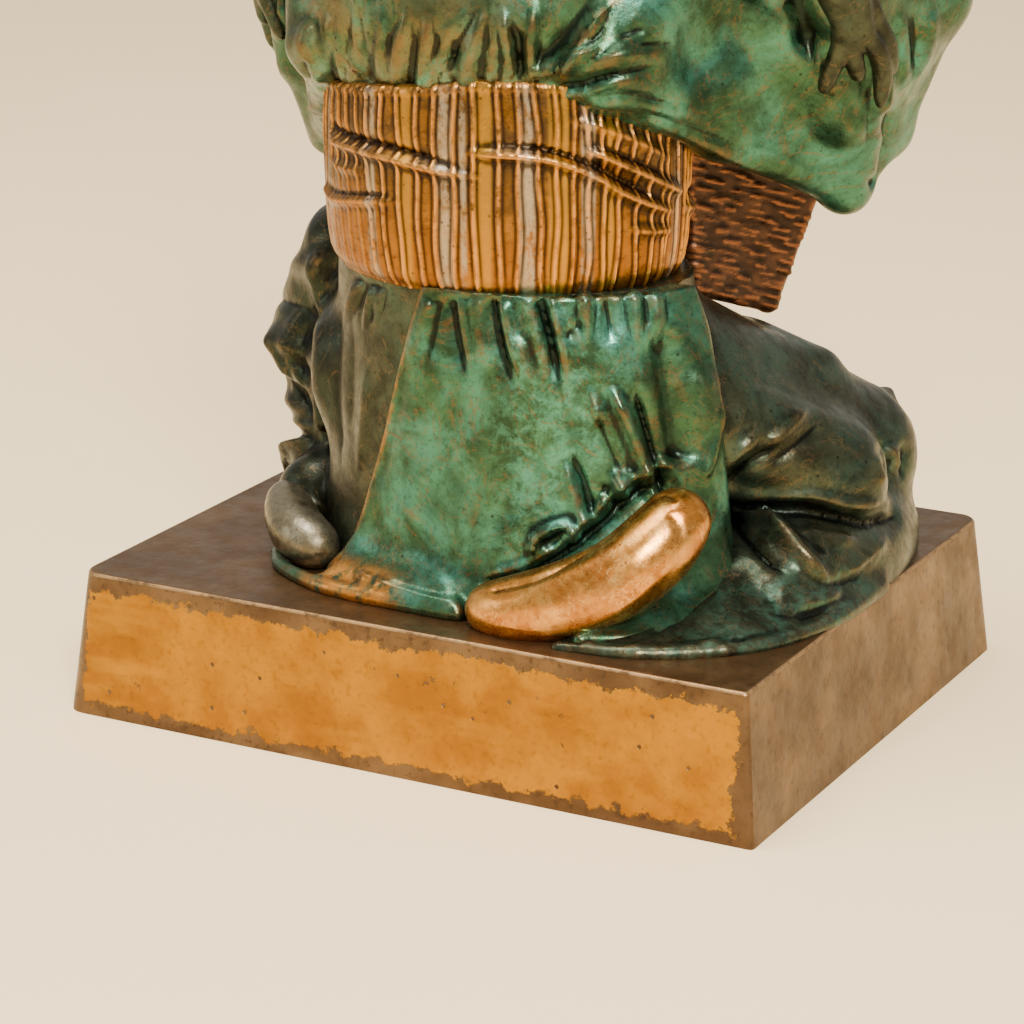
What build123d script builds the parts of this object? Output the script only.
"""Kneeling robed figure on a rectangular plinth: a table bronze cast in pieces and pinned together.

Frame: millimetres, +Z up, origin at the centre of the plinth's resting face.
+X is the figure's right-hand side and +Y is the way the figure faces.
"""
from build123d import *
from math import cos, radians, sin
import os

os.makedirs("parts", exist_ok=True)

# ---------------------------------------------------------------- driving dimensions
PLINTH_LENGTH = 120.0
PLINTH_WIDTH = 98.0
PLINTH_HEIGHT = 23.0
PLINTH_DRAFT = 6.0  # degrees, all four sides lean inwards
PLINTH_WALL = 4.0
PLINTH_TOP = 4.5
BOSS_RADIUS = 7.0
BOSS_DEPTH = 2.5
SOFT_CORNER = 3.5  # rounded upright edges
SHARP_CORNER = 0.8  # the one upright edge that was filed square
TOP_EDGE = 0.7

BODY_Y = -12.0  # axis of the waist, behind the plinth's centre
SASH_BOTTOM = 72.0
SASH_TOP = 104.0
SPIGOT_HALF_X = 23.0
SPIGOT_HALF_Y = 17.0
SPIGOT_WALL = 4.0
CAVITY_TOP = 124.0
SEAT_PLATE = 64.0  # underside of the plate that closes the trousers

NECK_SEAT = 139.0
NECK_RADIUS = 8.6
TENON_RADIUS = 5.0
TENON_LENGTH = 10.0

SLEEVE_TURN = 50.0  # degrees in plan, from +X towards the front
ROD_RADIUS = 2.0
ROD_BOTTOM = 10.5
ROD_TOP = 150.0
NUT_FLATS = 7.0
NUT_HEIGHT = 3.2
WASHER_RADIUS = 4.5
WASHER_HEIGHT = 0.8
SCREW_X = 38.0
SCREW_Y = 22.0
SCREW_TOP = 36.0
SCREW_HEAD_RADIUS = 3.5
SCREW_HEAD_HEIGHT = 2.6
FIT = 0.03  # radial clearance of dowels and tenons
BORE = 0.25  # radial clearance of through holes

ground = PLINTH_HEIGHT  # the plinth's top face
boss_bottom = PLINTH_HEIGHT - PLINTH_TOP - BOSS_DEPTH
rod_line = (0.0, BODY_Y)
screw_lines = ((SCREW_X, SCREW_Y), (-SCREW_X, SCREW_Y))


# ---------------------------------------------------------------- shared shapes
def oval_stack(sections, mode=Mode.ADD):
    """Loft through level ovals, each (z, centre x, centre y, half length, half width, turn)."""
    ovals = []
    for z, x, y, half_length, half_width, turn in sections:
        along = (cos(radians(turn)), sin(radians(turn)), 0)
        with BuildSketch(Plane((x, y, z), x_dir=along, z_dir=(0, 0, 1))) as oval:
            Ellipse(half_length, half_width)
        ovals.append(oval.sketch)
    loft(ovals, mode=mode)


def ball(centre, radius):
    with Locations(centre):
        Sphere(radius)


def limb(start, start_radius, end, end_radius):
    """A round limb that tapers from one joint to the next, with a ball at each end."""
    axis = Vector(*end) - Vector(*start)
    with BuildSketch(Plane(start, z_dir=axis)) as near:
        Circle(start_radius)
    with BuildSketch(Plane(end, z_dir=axis)) as far:
        Circle(end_radius)
    loft([near.sketch, far.sketch])
    ball(start, start_radius)
    ball(end, end_radius)


def pin(start, end, radius, mode=Mode.ADD):
    """A straight round pin, or the hole for one."""
    line = Vector(*end) - Vector(*start)
    with BuildSketch(Plane(start, z_dir=line)) as section:
        Circle(radius)
    extrude(section.sketch, amount=line.length, mode=mode)


def bore(start, end, radius):
    pin(start, end, radius, mode=Mode.SUBTRACT)


def cut(*neighbours):
    """Take the neighbours' solids away from the piece being built."""
    for neighbour in neighbours:
        add(neighbour.part, mode=Mode.SUBTRACT)


def trim_below(z):
    with Locations((0, 0, z)):
        Box(400, 400, 200, align=(Align.CENTER, Align.CENTER, Align.MAX), mode=Mode.SUBTRACT)


def mirrored(point):
    return (-point[0], point[1], point[2])


# ---------------------------------------------------------------- pins and dowels, as end points
right_slipper_peg = ((25.0, -36.5, 20.5), (25.0, -36.5, 31.0))
left_slipper_peg = ((-27.5, -26.0, 20.5), (-27.5, -26.0, 29.0))
hand_peg = ((44.2, 6.6, 111.0), (50.0, 1.7, 111.0))
neck_dowel_line = ((0.0, -15.6, 135.0), (0.0, -15.6, 143.0))
sleeve_dowel_lines = (
    ((28.0, -8.0, 122.0), (38.0, -8.0, 122.0)),
    ((28.0, -2.0, 112.0), (38.0, -2.0, 112.0)),
)
SLIPPER_PEG_RADIUS = 1.25
HAND_PEG_RADIUS = 0.8
NECK_DOWEL_RADIUS = 0.8
SLEEVE_DOWEL_RADIUS = 1.25

# ---------------------------------------------------------------- plinth
with BuildPart() as plinth:
    with BuildSketch():
        Rectangle(PLINTH_LENGTH, PLINTH_WIDTH)
    extrude(amount=PLINTH_HEIGHT, taper=PLINTH_DRAFT)
    uprights = [edge for edge in plinth.edges() if abs(edge.tangent_at(0.5).Z) > 0.9]
    filed = [edge for edge in uprights if edge.center().X > 0 > edge.center().Y]
    fillet([edge for edge in uprights if edge not in filed], SOFT_CORNER)
    uprights = [edge for edge in plinth.edges() if abs(edge.tangent_at(0.5).Z) > 0.9]
    fillet([max(uprights, key=lambda edge: edge.center().X - edge.center().Y)], SHARP_CORNER)
    fillet(plinth.faces().sort_by(Axis.Z)[-1].edges(), TOP_EDGE)
    with BuildSketch():
        Rectangle(PLINTH_LENGTH - 2 * PLINTH_WALL, PLINTH_WIDTH - 2 * PLINTH_WALL)
    extrude(amount=PLINTH_HEIGHT - PLINTH_TOP, taper=PLINTH_DRAFT, mode=Mode.SUBTRACT)
    with BuildSketch(Plane.XY.offset(boss_bottom)):
        with Locations(rod_line, *screw_lines):
            Circle(BOSS_RADIUS)
    extrude(amount=BOSS_DEPTH + PLINTH_TOP / 2)
    with BuildSketch(Plane.XY.offset(boss_bottom)):
        with Locations(rod_line, *screw_lines):
            Circle(ROD_RADIUS + BORE)
    extrude(amount=PLINTH_HEIGHT, mode=Mode.SUBTRACT)
    bore(*right_slipper_peg, SLIPPER_PEG_RADIUS + FIT)
    bore(*left_slipper_peg, SLIPPER_PEG_RADIUS + FIT)

# ---------------------------------------------------------------- slippers
right_slipper_path = (
    ((37.2, -27.5, 40.2), 5.0),
    ((34.0, -32.0, 35.0), 5.7),
    ((24.0, -37.5, 29.0), 5.6),
    ((11.7, -39.0, 26.0), 3.9),
)
left_slipper_path = (
    ((-33.5, -22.5, 31.5), 4.4),
    ((-29.5, -25.5, 29.0), 4.8),
    ((-24.0, -27.3, 27.4), 4.4),
)


def slipper(path):
    for (heel, heel_radius), (toe, toe_radius) in zip(path, path[1:]):
        limb(heel, heel_radius, toe, toe_radius)
    trim_below(ground)


with BuildPart() as right_slipper:
    slipper(right_slipper_path)
    bore(*right_slipper_peg, SLIPPER_PEG_RADIUS + FIT)

with BuildPart() as left_slipper:
    slipper(left_slipper_path)
    bore(*left_slipper_peg, SLIPPER_PEG_RADIUS + FIT)

# ---------------------------------------------------------------- trousers: hips, thighs and shins
with BuildPart() as trousers:
    oval_stack((
        (ground, 0, -10, 31, 21, 0),
        (40, 0, -11, 29, 21, 0),
        (58, 0, -12, 27, 20, 0),
        (SASH_BOTTOM, 0, BODY_Y, 26, 19.5, 0),
    ))
    for side in (1, -1):
        hip = (14 * side, -8, 54)
        knee = (41 * side, 27, 37)
        shin_top = (43 * side, 27, 35)
        ankle = (38 * side, -14, 32)
        limb(hip, 17.5, knee, 13)
        limb(shin_top, 12, ankle, 8.5)
    trim_below(ground)
    with Locations((0, 0, SASH_BOTTOM)):
        Box(200, 200, 60, align=(Align.CENTER, Align.CENTER, Align.MIN), mode=Mode.SUBTRACT)
    oval_stack((
        (ground - 1, 0, -9, 24, 14, 0),
        (45, 0, -11, 23, 14.5, 0),
        (SEAT_PLATE, 0, BODY_Y, 21, 14, 0),
    ), mode=Mode.SUBTRACT)
    cut(right_slipper, left_slipper)
    bore((*rod_line, ground), (*rod_line, SASH_BOTTOM + 1), ROD_RADIUS + BORE)
    for x, y in screw_lines:
        bore((x, y, ground), (x, y, SCREW_TOP), ROD_RADIUS)

# ---------------------------------------------------------------- coat skirt, back and front panels
with BuildPart() as coat_skirt_back:
    oval_stack((
        (ground, 4, -10, 38, 26, 0),
        (45, 3, -11, 36, 25, 0),
        (SASH_BOTTOM, 0, BODY_Y, 28, 22.3, 0),
    ))
    with BuildSketch(Plane.XZ.offset(14)):
        with BuildLine():
            Polyline((-4, 80), (44, 80), (44, ground), (-18, ground), (-4, SASH_BOTTOM), close=True)
        make_face()
    extrude(amount=40, mode=Mode.INTERSECT)
    oval_stack((
        (ground - 1, 3, -10, 35, 23, 0),
        (45, 2.5, -11, 33, 22, 0),
        (SASH_BOTTOM + 1, 0, BODY_Y, 26.2, 19.7, 0),
    ), mode=Mode.SUBTRACT)
    cut(trousers, right_slipper, left_slipper)

with BuildPart() as coat_skirt_front:
    for z, y, half_width, half_depth in ((ground, 22, 22, 2), (46, 20, 24, 2.5), (SASH_BOTTOM, 8, 20, 2)):
        with BuildSketch(Plane((0, y, z))):
            Ellipse(half_width, half_depth)
    loft()
    cut(trousers)

# ---------------------------------------------------------------- sash, its knot and its hanging end
with BuildPart() as sash:
    oval_stack((
        (SASH_BOTTOM, 0, BODY_Y, 27, 21.3, 0),
        (82, 0, BODY_Y, 29, 23, 0),
        (95, 0, BODY_Y, 29, 23, 0),
        (SASH_TOP, 0, BODY_Y, 27.5, 22, 0),
    ))
    with BuildSketch(Plane((0, BODY_Y, SASH_BOTTOM))):
        Ellipse(SPIGOT_HALF_X + FIT, SPIGOT_HALF_Y + FIT)
    extrude(amount=SASH_TOP - SASH_BOTTOM + 1, mode=Mode.SUBTRACT)

# ---------------------------------------------------------------- torso, hollow, with a spigot below
with BuildPart() as torso:
    oval_stack((
        (SASH_TOP, 0, BODY_Y, 27.5, 22, 0),
        (112, 0, -12, 32, 24, 0),
        (122, 0, -11, 33, 23.5, 0),
        (131, 0, -10, 29, 19, 0),
        (NECK_SEAT, 0, -10, 11, 10.5, 0),
    ))
    with BuildSketch(Plane((0, BODY_Y, SASH_BOTTOM))):
        Ellipse(SPIGOT_HALF_X, SPIGOT_HALF_Y)
    extrude(amount=SASH_TOP - SASH_BOTTOM + 2)
    with BuildSketch(Plane((0, BODY_Y, SASH_BOTTOM))):
        Ellipse(SPIGOT_HALF_X - SPIGOT_WALL, SPIGOT_HALF_Y - SPIGOT_WALL)
    extrude(amount=CAVITY_TOP - SASH_BOTTOM, mode=Mode.SUBTRACT)
    bore((0, -10, NECK_SEAT - TENON_LENGTH), (0, -10, NECK_SEAT + 1), TENON_RADIUS + FIT)
    bore((*rod_line, CAVITY_TOP - 1), (*rod_line, NECK_SEAT), ROD_RADIUS + BORE)
    bore(*neck_dowel_line, NECK_DOWEL_RADIUS + FIT)
    for start, end in sleeve_dowel_lines:
        bore(start, end, SLEEVE_DOWEL_RADIUS + FIT)
        bore(mirrored(start), mirrored(end), SLEEVE_DOWEL_RADIUS + FIT)

with BuildPart() as sash_knot:
    ball((17, 9.5, 92), 6.5)
    ball((18, 11, 84.5), 5)
    cut(sash, trousers, torso)

with BuildPart() as sash_end:
    for z, x, y, half_width in ((64, 28.5, 14, 9), (74, 29.5, 12.5, 10), (86, 29.5, 12, 9.5)):
        across = (cos(radians(56)), sin(radians(56)), 0)
        with BuildSketch(Plane((x, y, z), x_dir=across, z_dir=(0, 0, 1))):
            Ellipse(half_width, 3.2)
    loft()
    cut(sash, trousers, torso, sash_knot)

# ---------------------------------------------------------------- sleeves
with BuildPart() as right_sleeve:
    oval_stack((
        (80, 49, 12, 6, 4.5, SLEEVE_TURN),
        (90, 48, 12, 15, 7, SLEEVE_TURN),
        (100, 46, 12, 22, 9, SLEEVE_TURN),
        (110, 44, 11, 26, 10.5, SLEEVE_TURN),
        (119, 41, 8, 26, 12, SLEEVE_TURN),
        (127, 35, 3, 22, 12, SLEEVE_TURN),
        (134, 28, -4, 14, 10, SLEEVE_TURN),
    ))
    limb((29, -6, 126.5), 9.5, (45, 14, 113), 11.5)
    limb((48, 20, 110), 11.5, (-6, 25, 107), 9)
    with Locations((0, 0, 100)):
        Box(80, 120, 120, align=(Align.MAX, Align.CENTER, Align.CENTER), mode=Mode.SUBTRACT)
    cut(torso, sash, sash_knot, sash_end)
    for start, end in sleeve_dowel_lines:
        bore(start, end, SLEEVE_DOWEL_RADIUS + FIT)
    bore(*hand_peg, HAND_PEG_RADIUS + FIT)

with BuildPart() as left_sleeve:
    add(mirror(right_sleeve.part, about=Plane.YZ))

# ---------------------------------------------------------------- hands laid over the opposite sleeves
FINGER_RADIUS = 1.6
KNUCKLE_Z = 110.0
FINGERTIP_Z = 102.0
knuckles = ((48.2, -0.6), (49.9, 1.2), (51.6, 3.2), (52.8, 5.4))

with BuildPart() as left_hand:
    limb((47, 3, 119), 3.2, (50, 1.8, 111), 4.2)
    for x, y in knuckles:
        limb((x, y, KNUCKLE_Z), FINGER_RADIUS, (x + 0.4, y, FINGERTIP_Z), FINGER_RADIUS - 0.2)
    cut(right_sleeve)
    bore(*hand_peg, HAND_PEG_RADIUS + FIT)

with BuildPart() as right_hand:
    add(mirror(left_hand.part, about=Plane.YZ))

# ---------------------------------------------------------------- head, collar and turban
with BuildPart() as head:
    with BuildSketch(Plane((0, -10, NECK_SEAT - TENON_LENGTH))):
        Circle(TENON_RADIUS)
    extrude(amount=TENON_LENGTH + 1)
    oval_stack((
        (NECK_SEAT, 0, -10, NECK_RADIUS, NECK_RADIUS, 0),
        (146, 0, -8.5, 8.2, 8.4, 0),
        (150, 0, -6.5, 9.6, 11.5, 0),
        (160, 0, -6, 12, 14.6, 0),
        (168, 0, -6.5, 11.8, 14.2, 0),
        (175, 0, -7, 8, 9.6, 0),
    ))
    ball((0, 8.2, 158), 2.0)
    bore((*rod_line, NECK_SEAT - TENON_LENGTH - 1), (*rod_line, ROD_TOP), ROD_RADIUS)
    bore(*neck_dowel_line, NECK_DOWEL_RADIUS + FIT)

with BuildPart() as turban:
    oval_stack((
        (163, 0, -7, 14.5, 16.2, 0),
        (168, 0, -7, 16.5, 18.2, 0),
        (173, 0, -7.5, 15.5, 17, 0),
        (178, 0, -8, 11, 12, 0),
        (181, 0, -8, 5, 5.5, 0),
    ))
    cut(head)

with BuildPart() as collar:
    oval_stack((
        (134, 0, -9.5, 17, 15, 0),
        (139, 0, -9.8, 13, 12.4, 0),
        (143, 0, -9.8, 11, 10.8, 0),
    ))
    cut(torso, head)
    bore((0, -10, NECK_SEAT - TENON_LENGTH), (0, -10, NECK_SEAT), NECK_RADIUS + 1)
    bore((0, -9.5, NECK_SEAT - 1), (0, -9.5, NECK_SEAT + TENON_LENGTH), NECK_RADIUS - 1)

# ---------------------------------------------------------------- tie rod and fasteners
with BuildPart() as tie_rod:
    pin((*rod_line, ROD_BOTTOM), (*rod_line, ROD_TOP), ROD_RADIUS)

with BuildPart() as tie_rod_washer:
    with BuildSketch(Plane.XY.offset(boss_bottom - WASHER_HEIGHT)):
        with Locations(rod_line):
            Circle(WASHER_RADIUS)
            Circle(ROD_RADIUS, mode=Mode.SUBTRACT)
    extrude(amount=WASHER_HEIGHT)

with BuildPart() as tie_rod_nut:
    with BuildSketch(Plane.XY.offset(boss_bottom - WASHER_HEIGHT - NUT_HEIGHT)):
        with Locations(rod_line):
            RegularPolygon(NUT_FLATS / 2, 6, major_radius=False)
            Circle(ROD_RADIUS, mode=Mode.SUBTRACT)
    extrude(amount=NUT_HEIGHT)

with BuildPart() as leg_screw_washers:
    with BuildSketch(Plane.XY.offset(boss_bottom - WASHER_HEIGHT)):
        with Locations(*screw_lines):
            Circle(WASHER_RADIUS)
            Circle(ROD_RADIUS + BORE, mode=Mode.SUBTRACT)
    extrude(amount=WASHER_HEIGHT)

with BuildPart() as leg_screws:
    screw_seat = boss_bottom - WASHER_HEIGHT
    with BuildSketch(Plane.XY.offset(screw_seat - SCREW_HEAD_HEIGHT)):
        with Locations(*screw_lines):
            Circle(SCREW_HEAD_RADIUS)
    extrude(amount=SCREW_HEAD_HEIGHT)
    fillet(leg_screws.faces().group_by(Axis.Z)[0].edges(), 0.4)
    with BuildSketch(Plane.XY.offset(screw_seat)):
        with Locations(*screw_lines):
            Circle(ROD_RADIUS)
    extrude(amount=SCREW_TOP - screw_seat)
    with BuildSketch(Plane.XY.offset(screw_seat - SCREW_HEAD_HEIGHT)):
        with Locations(*screw_lines):
            Rectangle(2 * SCREW_HEAD_RADIUS + 1, 1)
    extrude(amount=1.2, mode=Mode.SUBTRACT)

with BuildPart() as neck_dowel:
    pin(*neck_dowel_line, NECK_DOWEL_RADIUS)

with BuildPart() as sleeve_dowels:
    for start, end in sleeve_dowel_lines:
        pin(start, end, SLEEVE_DOWEL_RADIUS)
        pin(mirrored(start), mirrored(end), SLEEVE_DOWEL_RADIUS)

with BuildPart() as hand_pegs:
    pin(*hand_peg, HAND_PEG_RADIUS)
    pin(*map(mirrored, hand_peg), HAND_PEG_RADIUS)

with BuildPart() as slipper_pegs:
    pin(*right_slipper_peg, SLIPPER_PEG_RADIUS)
    pin(*left_slipper_peg, SLIPPER_PEG_RADIUS)

# ---------------------------------------------------------------- hand over every piece
pieces = {
    "plinth": plinth,
    "trousers": trousers,
    "coat_skirt_back": coat_skirt_back,
    "coat_skirt_front": coat_skirt_front,
    "sash": sash,
    "sash_knot": sash_knot,
    "sash_end": sash_end,
    "torso": torso,
    "right_sleeve": right_sleeve,
    "left_sleeve": left_sleeve,
    "right_hand": right_hand,
    "left_hand": left_hand,
    "head": head,
    "turban": turban,
    "collar": collar,
    "right_slipper": right_slipper,
    "left_slipper": left_slipper,
    "tie_rod": tie_rod,
    "tie_rod_nut": tie_rod_nut,
    "tie_rod_washer": tie_rod_washer,
    "leg_screws": leg_screws,
    "leg_screw_washers": leg_screw_washers,
    "neck_dowel": neck_dowel,
    "sleeve_dowels": sleeve_dowels,
    "hand_pegs": hand_pegs,
    "slipper_pegs": slipper_pegs,
}

for piece_name, piece in pieces.items():
    piece.part.label = piece_name
    export_step(piece.part, f"parts/{piece_name}.step")
